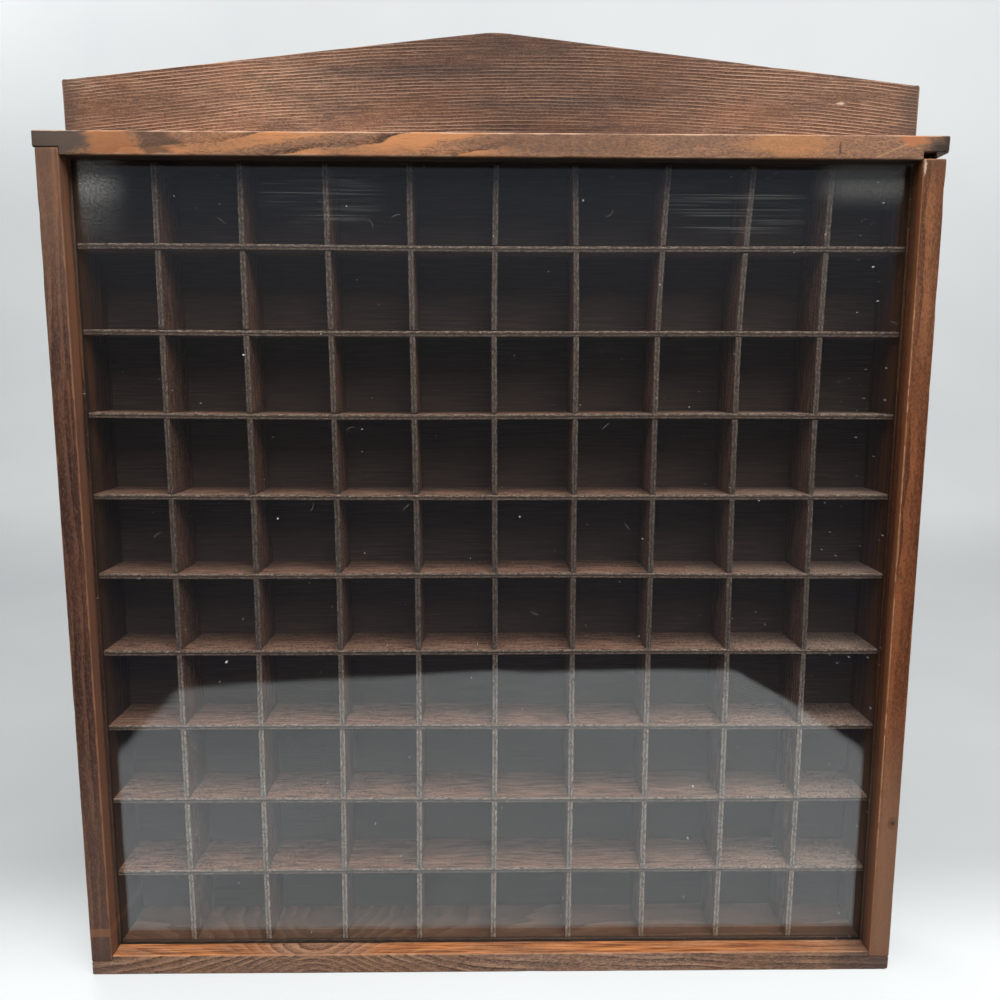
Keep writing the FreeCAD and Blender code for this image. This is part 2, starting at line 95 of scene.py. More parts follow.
class Graph:
    """Adds nodes to a material's or a world's tree and wires them as they are made."""

    def __init__(self, owner):
        owner.use_nodes = True
        self.owner = owner
        self.tree = owner.node_tree
        self.tree.nodes.clear()

    def node(self, kind, inputs, **settings):
        """A node with its settings made and its inputs linked or set."""
        node = self.tree.nodes.new(kind)
        for key, value in settings.items():
            setattr(node, key, value)
        for key, value in inputs.items():
            if isinstance(value, Value):
                self.tree.links.new(value.socket, node.inputs[key])
            else:
                node.inputs[key].default_value = value
        return node

    def add(self, kind, inputs, output=0, **settings):
        """One output of a new node."""
        return Value(self, self.node(kind, inputs, **settings).outputs[output])

    def outputs(self, kind, inputs, **settings):
        """All outputs of a new node, by name."""
        return {socket.name: Value(self, socket) for socket in self.node(kind, inputs, **settings).outputs}

    def math(self, operation, *values):
        """The result of an operation on numbers."""
        return self.add("ShaderNodeMath", dict(enumerate(values)), operation=operation)

    def vector(self, *parts):
        """A vector from its three parts."""
        return self.add("ShaderNodeCombineXYZ", dict(enumerate(parts)))

    def parts(self, vector):
        """The three parts of a vector."""
        return list(self.outputs("ShaderNodeSeparateXYZ", {0: vector}).values())

    def place(self):
        """The three parts of the point's place in the case's frame, in millimetres."""
        return [part / MM for part in self.parts(self.add("ShaderNodeTexCoord", {}, "Object"))]

    def facing(self):
        """The three parts of the surface's normal."""
        return self.parts(self.add("ShaderNodeNewGeometry", {}, "Normal"))

    def principled(self, **inputs):
        """The usual surface shader, with inputs named by words joined with underscores."""
        named = {key.replace("_", " "): value for key, value in inputs.items()}
        return self.add("ShaderNodeBsdfPrincipled", named)

    def finish(self, surface, output="ShaderNodeOutputMaterial"):
        """Wires the surface to the tree's output and gives the material or the world."""
        self.node(output, {"Surface": surface})
        return self.owner


class Value:
    """A number or a colour in a tree, with arithmetic that adds nodes."""

    def __init__(self, graph, socket):
        self.graph = graph
        self.socket = socket

    def __add__(self, other):
        return self.graph.math("ADD", self, other)

    def __sub__(self, other):
        return self.graph.math("SUBTRACT", self, other)

    def __rsub__(self, other):
        return self.graph.math("SUBTRACT", other, self)

    def __mul__(self, other):
        return self.graph.math("MULTIPLY", self, other)

    def __truediv__(self, other):
        return self.graph.math("DIVIDE", self, other)

    def __abs__(self):
        return self.graph.math("ABSOLUTE", self)

    def least(self, other):
        """The smaller of two numbers."""
        return self.graph.math("MINIMUM", self, other)

    def most(self, other):
        """The larger of two numbers."""
        return self.graph.math("MAXIMUM", self, other)

    def root(self):
        """The square root."""
        return self.graph.math("SQRT", self)

    def fade(self, start, end):
        """0 at start, 1 at end, smooth between and flat beyond. Start may be the larger."""
        inputs = {"Value": self, "From Min": start, "From Max": end}
        return self.graph.add("ShaderNodeMapRange", inputs, interpolation_type="SMOOTHSTEP")

    def band(self, low, high, soft):
        """1 between two values, falling to 0 over a soft margin outside them."""
        return self.fade(low - soft, low) * self.fade(high + soft, high)

    def mix(self, first, second, blend="MIX"):
        """Two colours mixed by this share."""
        inputs = {0: self, 6: first, 7: second}
        return self.graph.add("ShaderNodeMix", inputs, 2, data_type="RGBA", blend_type=blend)

    def tint(self, tone, share):
        """This colour mixed with a tone, given as on a screen."""
        return share.mix(self, srgb(*tone))

    def shade(self, mask, red, green, blue):
        """This colour with its parts multiplied where a mask says so."""
        return mask.mix(self, (red, green, blue, 1), "MULTIPLY")

    def stops(self, stops):
        """A colour that changes with this number, by stops of place and linear colour."""
        node = self.graph.node("ShaderNodeValToRGB", {0: self})
        elements = node.color_ramp.elements
        while len(elements) < len(stops):
            elements.new(0.5)
        for element, (place, colour) in zip(elements, stops):
            element.position = place
            element.color = colour
        return Value(self.graph, node.outputs[0])

    def ramp(self, *stops):
        """A colour that changes with this number, by stops of place and colour as on a screen."""
        return self.stops([(place, srgb(*tone)) for place, tone in stops])

    def grey(self, *stops):
        """A number that changes with this one, by stops of place and level."""
        return self.stops([(place, (level, level, level, 1)) for place, level in stops])

    def bump(self, depth, strength):
        """A normal bent by this height from 0 to 1, which stands for a depth in millimetres."""
        inputs = {"Height": self, "Distance": depth * MM, "Strength": strength}
        return self.graph.add("ShaderNodeBump", inputs)


def new_material(name):
    """The node builder of a new material."""
    return Graph(bpy.data.materials.new(name))


def lumps(place, size, detail=2, roughness=0.5, distortion=0):
    """Noise from 0 to 1 whose lumps have about the given size along each way of the place."""
    graph = place[0].graph
    where = graph.vector(*[part / length for part, length in zip(place, size)])
    inputs = {"Vector": where, "Scale": 1, "Detail": detail, "Roughness": roughness, "Distortion": distortion}
    return graph.add("ShaderNodeTexNoise", inputs, "Fac")


def wander(place, size, detail, reach):
    """Noise about nothing, times a reach."""
    return (lumps(place, size, detail) - 0.5) * reach


def smear(place, centre, size):
    """A soft spot, 1 in its middle, about a place of the case in millimetres."""
    offsets = [(value - middle) / reach for value, middle, reach in zip(place, centre, size)]
    squares = [offset * offset for offset in offsets]
    return sum(squares[1:], squares[0]).root().fade(1, 0.45)


def edge_distance(place, low, high):
    """How far a point on a board's surface lies from the board's nearest arris, in millimetres.

    The smallest of its three distances from the box's faces is about nothing there, so it is the middle one.
    """
    one, two, three = [
        (part - least).least(most - part).most(0) for part, least, most in zip(place, low, high)]
    return one.least(two).most(one.most(two).least(three))


def grain_space(place, along):
    """The place as along the grain, across the face and into the depth."""
    x, y, z = place
    return (x, z, y) if along == "X" else (z, x, y)


@dataclass
class Wood:
    """How one stained board looks. Lengths are in millimetres and colours as on a screen."""

    along: str
    seed: int
    spacing: float
    pith: tuple
    warp: float
    line: tuple
    dark: tuple
    middle: tuple
    worn: tuple
    stain: tuple
    glow: tuple
    line_share: float = 0.2
    contrast: float = 1
    tilt: float = 0
    arch: float = 0
    arch_middle: float = 0
    arch_reach: float = 1000
    waver: float = 0.2
    fleck: float = 1.9
    fleck_share: float = 0.5
    pore_share: float = 0.5
    line_calm: float = 0
    lively_until: float = 1000
    calm_from: float = 1100
    stain_share: float = 0.5
    glow_share: float = 0.5


# Sizes of the softwood's figure along the grain, across it and into the depth, in millimetres
SLOW_WAVE = (120, 34, 34)
QUICK_WAVE = (24, 6, 6)
LIVELY_PATCH = (60, 12, 12)
BLOTCH = (38, 9, 12)
WARM_PATCH = (52, 14, 18)
DARK_STREAK = (10, 0.55, 0.55)
PORE = (1.1, 0.42, 0.42)
FLECK_WIDTH = 0.7
# How far apart the boards lie in the same noise, so that no two look alike
SEED_STEP = 517
WARM_SHIFT = 91


def ring_coordinate(look, along, across, deep, shifted):
    """The distance from the tree's heart, uneven as a real ring is."""
    side, rear = across - look.pith[0], deep - look.pith[1]
    from_arch = along - look.arch_middle
    square = from_arch * from_arch
    arch = square / (square / look.arch_reach ** 2 + 1) * look.arch
    waves = wander(shifted, SLOW_WAVE, 2, look.warp) + wander(shifted, QUICK_WAVE, 2, look.warp * look.waver)
    return (side * side + rear * rear).root() + waves + along * look.tilt + arch


def wood_colour(look, place):
    """The colour of stained softwood with its year rings, and its relief from 0 to 1."""
    along, across, deep = grain_space(place, look.along)
    shifted = (along + look.seed * SEED_STEP, across, deep)
    rings = ring_coordinate(look, along, across, deep, shifted) / look.spacing
    ring = rings.graph.math("FRACT", rings)
    share = look.line_share
    colour = ring.ramp((0, look.dark), (0.03, look.line), (share, look.line),
                       (share + 0.16, look.middle), (0.7, look.middle), (0.94, look.dark))
    relief = ring.grey((0, 0), (0.04, 1), (share, 1), (share + 0.2, 0.5), (1, 0))
    lively = lumps(shifted, LIVELY_PATCH).fade(0.25, 0.6) * along.fade(look.calm_from, look.lively_until)
    colour = (lively * look.contrast).mix(srgb(*look.middle), colour)
    blotch = lumps(shifted, BLOTCH, 4, 0.6)
    colour = colour.tint(look.stain, blotch.fade(0.5, 0.7) * look.stain_share)
    warm = lumps((shifted[0], across + WARM_SHIFT, deep), WARM_PATCH, 3)
    colour = colour.tint(look.glow, warm.fade(0.5, 0.7) * look.glow_share)
    streaks = lumps(shifted, DARK_STREAK, 3, 0.6)
    colour = colour.tint(look.dark, streaks.fade(0.55, 0.75) * 0.7)
    late = ring.grey((0.02, 0), (0.05, 1), (share, 1), (share + 0.08, 0))
    rough = 1 - late * lively * look.line_calm
    flecks = lumps(shifted, (look.fleck, FLECK_WIDTH, FLECK_WIDTH), 2, 0.7)
    colour = colour.tint(look.line, flecks.fade(0.52, 0.66) * rough * look.fleck_share)
    colour = colour.tint(look.dark, flecks.fade(0.48, 0.34) * rough * look.fleck_share)
    pores = lumps(shifted, PORE, 1, 0.6)
    colour = colour.tint(look.dark, pores.fade(0.54, 0.68) * rough * look.pore_share)
    colour = colour.tint(look.line, pores.fade(0.44, 0.32) * rough * look.pore_share * 0.7)
    return colour, relief * 0.55 + streaks * 0.3 + flecks * 0.15


# Tones that more than one board shows, as on a screen
BARE_WOOD = (214, 190, 168)
SOOT = (42, 33, 28)
# The tone of the painted shade on the boards
PAINTED_SHADE_TONE = (34, 26, 23)


def board_material(node, look, marks, painted_shade):
    """Stained board: rings and blotches, dark ends, worn arrises, and painted shade where it lies in shadow.
    """
    graph = new_material(f"{node}_wood")
    place = graph.place()
    low, high = ([value / MM for value in corner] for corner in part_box(node))
    colour, height = wood_colour(look, place)
    axis = "XYZ".index(look.along)
    from_end = (place[axis] - low[axis]).least(high[axis] - place[axis])
    ragged = from_end + lumps(place, (6, 3, 3), 3, 0.6) * -14
    colour = colour.tint(look.stain, ragged.fade(6, -7) * 0.6)
    colour = marks(place, colour)
    patchy = lumps(place, (13, 13, 13), 3, 0.65) - 0.5
    arris = edge_distance(place, low, high) + patchy * -2.4
    colour = colour.tint(look.worn, arris.fade(0.75, 0.15) * 0.8)
    # Painted shade: parts in shadow, under, beside and behind the glass, are darkened towards a deep tone
    if painted_shade:
        colour = colour.tint(PAINTED_SHADE_TONE, painted_shade(place))
    return graph.finish(graph.principled(
        Base_Color=colour, Roughness=patchy * 0.25 + 0.58, Specular_IOR_Level=0.2,
        Normal=height.bump(0.12, 0.5)))


def pediment_marks(place, colour):
    """A lighter left half, darker stain in the middle, a chip, and light scratches near the left corner."""
    x, y, z = place
    bent = (x, y, z + wander(place, (60, 20, 7), 3, 14))
    for across, up, size, levels in (
            (-84, 16, (68, 40, 44), (1.3, 1.34, 1.34)),
            (10, 33, (130, 40, 34), (0.62, 0.62, 0.64)),
            (-30, 33, (75, 30, 4), (0.8, 0.86, 0.94)),
            (24, 7, (50, 30, 8), (0.6, 0.6, 0.62)),
            (44, 22, (60, 30, 3), (0.78, 0.85, 0.93))):
        patch = smear(bent, (across, PEDIMENT_FRONT, BOX_TOP + up), size)
        colour = colour.shade(patch, *levels)
    ragged = wander(place, (1.5, 1.5, 1), 2, 3)
    torn = (x + ragged, y, z + ragged * 0.4)
    colour = colour.tint(BARE_WOOD, smear(torn, (160, PEDIMENT_FRONT, BOX_TOP + 22), (2.6, 3, 0.7)))
    scratches = lumps(place, (14, 2, 0.8)).fade(0.56, 0.7)
    corner = smear(place, (LEFT_END + 10, PEDIMENT_FRONT, BOX_TOP + 26), (13, 4, 6))
    return colour.tint(BARE_WOOD, corner * scratches * 0.5)


# The split near the top board's right end: its middle, how far it reaches to each side, and its slope
SPLIT_MIDDLE = 171
SPLIT_REACH = 6
SPLIT_SLOPE = 0.42


def top_board_marks(place, colour):
    """Grey ends, orange and dull patches, a short dark check and a split that shows light wood."""
    x, y, z = place
    bent = (x + wander(place, (14, 9, 5), 3, 22), y, z + wander(place, (11, 9, 9), 3, 6))
    for across, up, size, share, tone in (
            (LEFT_END + 6, 1.5, (24, 60, 9), 0.9, (77, 72, 69)),
            (LEFT_END + 33, -0.5, (14, 60, 9), 0.75, (176, 116, 76)),
            (LEFT_END + 53, 0, (10, 60, 12), 0.7, (86, 66, 56)),
            (30, 1, (48, 60, 7), 0.4, (108, 82, 68)),
            (84, 3, (22, 60, 5), 0.4, (112, 92, 80)),
            (126, 1, (26, 60, 7), 0.5, (206, 144, 92)),
            (RIGHT_END - 16, 3, (9, 40, 3), 0.85, (190, 122, 82)),
            (RIGHT_END + 3, 0, (15, 60, 9), 0.9, (52, 47, 45))):
        colour = colour.tint(tone, smear(bent, (across, FRONT, TOP_MIDDLE + up), size) * share)
    check = smear(place, (148.5, FRONT, TOP_MIDDLE - 0.5), (0.7, 3, 3.6))
    colour = colour.tint(SOOT, check * 0.6)
    off_line = z - ((x - SPLIT_MIDDLE) * SPLIT_SLOPE + (TOP_MIDDLE - 1.4))
    along = x.band(SPLIT_MIDDLE - SPLIT_REACH, SPLIT_MIDDLE + SPLIT_REACH, 2)
    return colour.tint((196, 152, 116), off_line.band(-0.25, 0.25, 0.25) * along * 0.6)


def top_board_painted_shade(place):
    """Painted shade on the underside over the compartments, behind its front arris, and on the slot's walls.
    """
    x, y, z = place
    below = x.graph.facing()[2].fade(0.4, -0.3)
    over_the_case = abs(x).fade(SIDE_INSIDE + 1, SIDE_INSIDE)
    inside = y.fade(PANEL_FRONT + 0.5, PANEL_FRONT - 0.5) * z.fade(BOX_TOP - 0.5, BOX_TOP - 1.5)
    return below * y.fade(FRONT + 0.6, FRONT + 2.5) * over_the_case * inside * 0.94


# Where the bottom board's figure has its middle, and its orange lip is worn away
BOTTOM_FIGURE = -86


def bottom_board_marks(place, colour):
    """An orange lip in front of the glass, a dark floor behind it, a lighter stretch and a sooty end."""
    x, y, _ = place
    upper = x.graph.facing()[2].fade(0.6, 0.9)
    streaks = lumps(place, (24, 0.7, 0.7), 3, 0.6)
    orange = streaks.ramp((0.36, (92, 56, 37)), (0.5, (174, 106, 61)), (0.64, (222, 149, 93)))
    lip = y.fade(ahead_of_glass(-0.8), ahead_of_glass(0.7))
    clouds = lumps(place, (60, 8, 8)).grey((0.4, 0.95), (0.62, 0.55))
    worn_away = smear(place, (BOTTOM_FIGURE, ahead_of_glass(5.2), FLOOR_TOP), (34, 20, 20))
    dull_end = x.fade(130, SIDE_INSIDE - 1)
    orange_share = clouds * (1 - worn_away * 0.75) * (1 - dull_end * 0.6)
    colour = (upper * lip * orange_share).mix(colour, orange)
    colour = colour.tint((92, 69, 57), upper * (1 - lip) * 0.7)
    lighter = smear(place, (48, FRONT, FLOOR_TOP / 2), (70, 30, 24))
    colour = colour.shade(lighter * (1 - upper), 1.25, 1.3, 1.36)
    sooty = smear(place, (SIDE_INSIDE - 1, FRONT, FLOOR_TOP / 2), (24, 30, 9))
    return colour.tint((68, 54, 52), sooty * 0.65)


def bottom_board_painted_shade(place):
    """Painted shade on the groove's edges, and on the floor just behind the glass."""
    _, y, z = place
    groove = y.band(ahead_of_glass(0.8), ahead_of_glass(-3.4), 0.5) * 0.85
    behind = y.fade(ahead_of_glass(-13.8), ahead_of_glass(-3.8))
    floor = behind * y.fade(ahead_of_glass(0.8), ahead_of_glass(0.2)) * 0.4
    return z.fade(0.4 * FLOOR_TOP, 0.5 * FLOOR_TOP) * groove.most(floor)


@dataclass
class Lip:
    """A side board's inner face: which way it looks, and how far ahead of the glass its painted shade and
    painted light reach.
    """

    inward: float
    dark_until: float
    light_from: float
    light_full: float

    def inner(self, place):
        """1 on the inner face."""
        return (place[0].graph.facing()[0] * self.inward).fade(0.3, 0.7)

    def painted_shade(self, place):
        """Painted shade on the inner face, most of all behind the glass and in its groove."""
        behind = place[1].fade(ahead_of_glass(self.dark_until), ahead_of_glass(-0.8))
        groove = place[1].band(ahead_of_glass(1.4), ahead_of_glass(-2.8), 1.6)
        return self.inner(place) * (behind * 0.56 + groove * 0.3 + 0.04)

    def light(self, place):
        """Where the painted light goes: 1 on the part of the inner face that lies well in front of the glass.
        """
        ahead = place[1].fade(ahead_of_glass(self.light_from), ahead_of_glass(self.light_full))
        return self.inner(place) * ahead


LEFT_LIP = Lip(inward=1, dark_until=2.7, light_from=2.2, light_full=4.2)
RIGHT_LIP = Lip(inward=-1, dark_until=5.7, light_from=4.6, light_full=9.2)


def left_side_marks(place, colour):
    """A lighter top and foot, a darker middle, a pale band near the foot, warm streaks and painted light on
    the lip's inner face ahead of the glass.
    """
    x, _, z = place
    colour = colour.tint((146, 112, 92), z.fade(280, 375) * 0.4)
    colour = colour.shade(z.band(150, 250, 80), 0.84, 0.77, 0.78)
    colour = colour.tint((112, 86, 74), z.fade(130, 70) * 0.3)
    ragged = z + lumps(place, (4, 4, 2)) * 2
    colour = colour.tint((150, 104, 74), ragged.band(21.5, 25, 0.8) * 0.55)
    by_arris = x.fade(-SIDE_INSIDE - 5, -SIDE_INSIDE - 1)
    streaks = lumps(place, (1.3, 6, 40), 3).fade(0.48, 0.62)
    colour = colour.tint((160, 104, 68), by_arris * z.fade(180, 330) * streaks * 0.6)
    # Painted light: the lip's inner face ahead of the glass is made lighter
    return colour.tint((150, 104, 80), LEFT_LIP.light(place) * 0.58)


def right_side_marks(place, colour):
    """A darker middle, a greyer foot, a small knot, a bare sliver at the top, painted light on the lip's
    inner face ahead of the glass and a rubbed inner arris.
    """
    x, y, z = place
    colour = colour.shade(z.band(150, 250, 80), 0.86, 0.74, 0.68)
    colour = colour.tint((138, 104, 84), z.fade(150, 60) * 0.7)
    ragged = wander(place, (1.5, 1.5, 1.5), 2, 2)
    torn = (x + ragged, y, z + ragged)
    for outward, height, size, share, tone in (
            (6.8, 77, (3.2, 4, 4.4), 0.45, (84, 52, 36)),
            (7, 77, (1.2, 4, 1.7), 0.8, SOOT),
            (0.6, 379, (1, 3, 4.5), 0.8, BARE_WOOD)):
        colour = colour.tint(tone, smear(torn, (SIDE_INSIDE + outward, FRONT, height), size) * share)
    # Painted light: the lip's inner face ahead of the glass is made lighter
    colour = colour.tint((186, 120, 80), RIGHT_LIP.light(place) * 0.6)
    dotted = lumps(place, (2, 2, 5)).fade(0.42, 0.56) * z.band(70, 320, 25)
    arris = x.band(SIDE_INSIDE + 0.2, SIDE_INSIDE + 0.5, 0.15) * y.fade(FRONT + 1.4, FRONT + 0.8)
    return colour.tint((222, 176, 138), arris * dotted * 0.7)


PEDIMENT_LOOK = Wood(
    "X", seed=1, spacing=1.45, pith=(250, 60), warp=5, line=(206, 160, 130), dark=(58, 39, 31),
    middle=(116, 85, 69), worn=(150, 114, 92), stain=(82, 69, 62), glow=(146, 100, 74), line_share=0.22,
    arch=0.0003, arch_middle=20, fleck=9, fleck_share=0.25, pore_share=0.35)
TOP_LOOK = Wood(
    "X", seed=2, spacing=9.5, pith=(440, 30), warp=15, line=(211, 145, 97), dark=(74, 54, 45),
    middle=(149, 113, 91), worn=(206, 168, 140), stain=(106, 84, 71), glow=(190, 132, 90), line_share=0.42,
    tilt=0.12, lively_until=-18, calm_from=22, waver=0.5, fleck_share=0.35, line_calm=0.85)
BOTTOM_LOOK = Wood(
    "X", seed=3, spacing=3.2, pith=(-60, 20), warp=10, line=(180, 142, 116), dark=(64, 47, 40),
    middle=(130, 101, 85), worn=(172, 124, 92), stain=(94, 76, 67), glow=(150, 110, 84), line_share=0.3,
    arch=0.02, arch_middle=BOTTOM_FIGURE, arch_reach=40, fleck=3)
LEFT_LOOK = Wood(
    "Z", seed=4, spacing=2.6, pith=(-150, 40), warp=8, line=(126, 92, 74), dark=(54, 38, 32),
    middle=(79, 56, 47), worn=(150, 106, 78), stain=(58, 44, 38), glow=(112, 77, 59), line_share=0.28,
    contrast=0.9, fleck=2.6)
RIGHT_LOOK = Wood(
    "Z", seed=5, spacing=4.2, pith=(160, 30), warp=10, line=(156, 102, 67), dark=(78, 47, 32),
    middle=(116, 74, 50), worn=(166, 118, 84), stain=(92, 63, 48), glow=(142, 90, 54), line_share=0.32,
    contrast=0.85)


@dataclass
class SawnEdge:
    """How a strip's front edge looks: its tones from dark to pale, and the shares of its other features."""

    tones: tuple
    painted_light_low_down: float
    darker_lower_ply: float
    dark_core: float
    middle_level: float


SHELF_EDGE = SawnEdge(
    ((62, 48, 42), (118, 99, 88), (178, 158, 143)),
    painted_light_low_down=0.3, darker_lower_ply=0.5, dark_core=0.85, middle_level=1)
DIVIDER_EDGE = SawnEdge(
    ((52, 43, 39), (98, 84, 76), (146, 130, 120)),
    painted_light_low_down=0.85, darker_lower_ply=0.1, dark_core=0.5, middle_level=0.78)
# Tones of the painted light on the sawn edges low down
LOW_DOWN_LIT_TONES = ((96, 85, 78), (148, 133, 122), (202, 188, 176))
SAWN_STOPS = (0.38, 0.5, 0.6)
# The name under which a strip's mesh keeps each point's place across its plies, in millimetres
ACROSS_PLIES = "across_plies"


def strip_face(place, streaks, grit, clouds):
    """A strip's faces: mottled brown, with painted light where they look upwards, dusty at the right, and
    painted shade towards the back.
    """
    x, y, _ = place
    mottled = streaks * 0.5 + grit * 0.5
    face = mottled.ramp((0.38, (55, 38, 32)), (0.5, (98, 71, 59)), (0.62, (144, 109, 90)))
    face = face.tint((100, 60, 44), clouds.fade(0.5, 0.7) * 0.45)
    upward = x.graph.facing()[2].fade(0.5, 0.9)
    # Painted light: faces that look upwards are made lighter
    face = face.tint((156, 119, 100), upward * mottled.grey((0.41, 0), (0.59, 0.8)))
    dust = grit.grey((0.4, 0.05), (0.6, 0.45))
    face = face.tint((176, 164, 154), upward * x.fade(50, 180) * dust)
    # Painted shade: the faces darken towards the back of the compartments
    return face.tint((46, 33, 28), y.fade(GRID_FRONT + 6, GRID_FRONT + 22) * 0.4)


def strip_edge(look, height, shifted, fibres, grit):
    """A strip's sawn front edge: rough plies about a dark core, with painted light low down, and dark chips.
    """
    tone = fibres * 0.6 + grit * 0.4
    sawn = tone.ramp(*zip(SAWN_STOPS, look.tones))
    # Painted light: the sawn edges turn paler low down, where more light falls on them
    lit_low_down = tone.ramp(*zip(SAWN_STOPS, LOW_DOWN_LIT_TONES))
    sawn = (height.fade(175, 115) * look.painted_light_low_down).mix(sawn, lit_low_down)
    offset = height.graph.add("ShaderNodeAttribute", {}, "Fac", attribute_name=ACROSS_PLIES)
    sawn = sawn.tint((62, 45, 37), offset.fade(0.3, -0.3) * look.darker_lower_ply)
    from_core = abs(offset) + lumps(shifted, (1.6, 1.6, 1.6), 3, 0.7) * -0.5
    sawn = sawn.tint((50, 38, 32), from_core.fade(0.26, -0.04) * look.dark_core)
    if look.middle_level < 1:
        sawn = sawn.shade(height.band(170, 240, 60), *[look.middle_level] * 3)
    chips = lumps(shifted, (2.4, 2.4, 2.4), 3, 0.7).fade(0.54, 0.66)
    return sawn.tint((60, 46, 39), chips * 0.55)


def strip_material(node, along, look):
    """Thin stained plywood: rough brown faces and a paler sawn edge at the front."""
    graph = new_material(f"{node}_ply")
    place = graph.place()
    low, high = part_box(node)
    middle = (low + high) / (2 * MM)
    # No two strips show the same noise
    offsets = (middle.z * 3.1, 0, middle.x * 2.3)
    shifted = [part + offset for part, offset in zip(place, offsets)]
    lengthwise = grain_space(shifted, along)
    streaks = lumps(lengthwise, (12, 1.2, 1.2), 4, 0.6)
    grit = lumps(shifted, (0.9, 0.9, 0.9), 2, 0.7)
    clouds = lumps(lengthwise, (24, 10, 10), 3)
    fibres = lumps(lengthwise, (2.6, 0.5, 0.5), 3, 0.7)
    face = strip_face(place, streaks, grit, clouds)
    sawn = strip_edge(look, place[2], shifted, fibres, grit)
    height = streaks * 0.4 + grit * 0.4 + fibres * 0.2
    return graph.finish(graph.principled(
        Base_Color=graph.facing()[1].fade(-0.35, -0.6).mix(face, sawn), Specular_IOR_Level=0.2,
        Roughness=streaks.grey((0.3, 0.85), (0.7, 0.7)), Normal=height.bump(0.2, 0.6)))


def back_panel_material():
    """Dark stained plywood with faint level grain, left bare behind."""
    graph = new_material("back_ply_dark")
    lengthwise = grain_space(graph.place(), "X")
    streaks = lumps(lengthwise, (22, 0.9, 0.9), 4, 0.65)
    clouds = lumps(lengthwise, (90, 40, 40))
    stained = streaks.ramp((0.3, (54, 42, 38)), (0.5, (68, 53, 47)), (0.68, (88, 68, 60)))
    stained = stained.tint((60, 45, 39), clouds * 0.4)
    waves = graph.math("FRACT", lumps(lengthwise, (160, 16, 16), 3, 0.5, 0.6) * 9)
    bare = streaks.ramp((0.3, (164, 128, 96)), (0.5, (192, 158, 124)), (0.7, (210, 180, 148)))
    bare = bare.tint((158, 116, 84), waves.fade(0.55, 1) * 0.35)
    bare = bare.tint((178, 140, 106), clouds.fade(0.45, 0.7) * 0.5)
    return graph.finish(graph.principled(
        Base_Color=graph.facing()[1].fade(0.4, 0.8).mix(stained, bare), Roughness=0.65,
        Specular_IOR_Level=0.25, Normal=streaks.bump(0.1, 0.4)))


def steel_material(name, bright, dull):
    """Plated steel gone dull in patches."""
    graph = new_material(name)
    place = graph.place()
    patches = lumps(place, (2.4, 2.4, 2.4), 4, 0.65)
    scratches = lumps(place, (0.4, 0.4, 6), 3, 0.6)
    return graph.finish(graph.principled(
        Base_Color=patches.ramp((0.35, dull), (0.6, bright)), Metallic=0.9,
        Roughness=patches.grey((0.3, 0.6), (0.7, 0.32)), Normal=scratches.bump(0.03, 0.5)))


def dust_specks(across, up, spacing, largest):
    """Specks, few of them large: one at most for each square of the given spacing."""
    graph = across.graph
    where = graph.vector(across / spacing, 0, up / spacing)
    cells = graph.outputs("ShaderNodeTexVoronoi", {"Vector": where, "Scale": 1})
    chance = graph.add("ShaderNodeSeparateColor", {0: cells["Color"]})
    radius = chance.grey((0.3, 0), (0.32, 0.3), (0.75, 0.5), (1, 1))
    return (cells["Distance"] * spacing / largest - radius).fade(0.12, -0.05)


def lint(across, up, spacing, half_length, half_width):
    """Short curled fibres, one for about every third square of the given spacing."""
    graph = across.graph
    where = graph.vector(across / spacing, up / spacing, 0)
    cells = graph.outputs("ShaderNodeTexVoronoi", {"Vector": where, "Scale": 1}, voronoi_dimensions="2D")
    middle = graph.parts(cells["Position"])
    turn, chance, curl = graph.outputs("ShaderNodeSeparateColor", {0: cells["Color"]}).values()
    aside, above = across - middle[0] * spacing, up - middle[1] * spacing
    angle = turn * (2 * math.pi)
    cosine, sine = graph.math("COSINE", angle), graph.math("SINE", angle)
    along = aside * cosine + above * sine
    bow = along * along * (curl - 0.5) * (0.8 / half_length)
    off = abs(above * cosine - aside * sine + bow)
    fibre = off.fade(1.6 * half_width, 0.6 * half_width) * abs(along).fade(half_length, 0.8 * half_length)
    return fibre * graph.math("GREATER_THAN", chance, 0.65)


def corner_haze(x, z):
    """The dull film in the pane's two upper corners, which ends below the slot, thickened just under the top
    board's lip as painted light where the lip shades the pane.
    """
    corners = []
    for side, begins, full, low, high, share in (
            (-1, 27, 6, 340, 370, 0.12),
            (1, 47, 27, 360, 378, 0.075)):
        edge = side * SIDE_INSIDE
        inward = x.fade(edge - side * begins, edge - side * full)
        rim = x.fade(edge - side * 2.4, edge - side * 3.6)
        corners.append(inward * z.fade(low, high) * rim * share)
    # Painted light: the haze is made thicker where the top board's lip shades the pane
    painted_light_under_lip = z.fade(361, 375) * 2.4 + 0.7
    return (corners[0] + corners[1]) * painted_light_under_lip * z.fade(OPENING_TOP + 1.5, OPENING_TOP - 1)


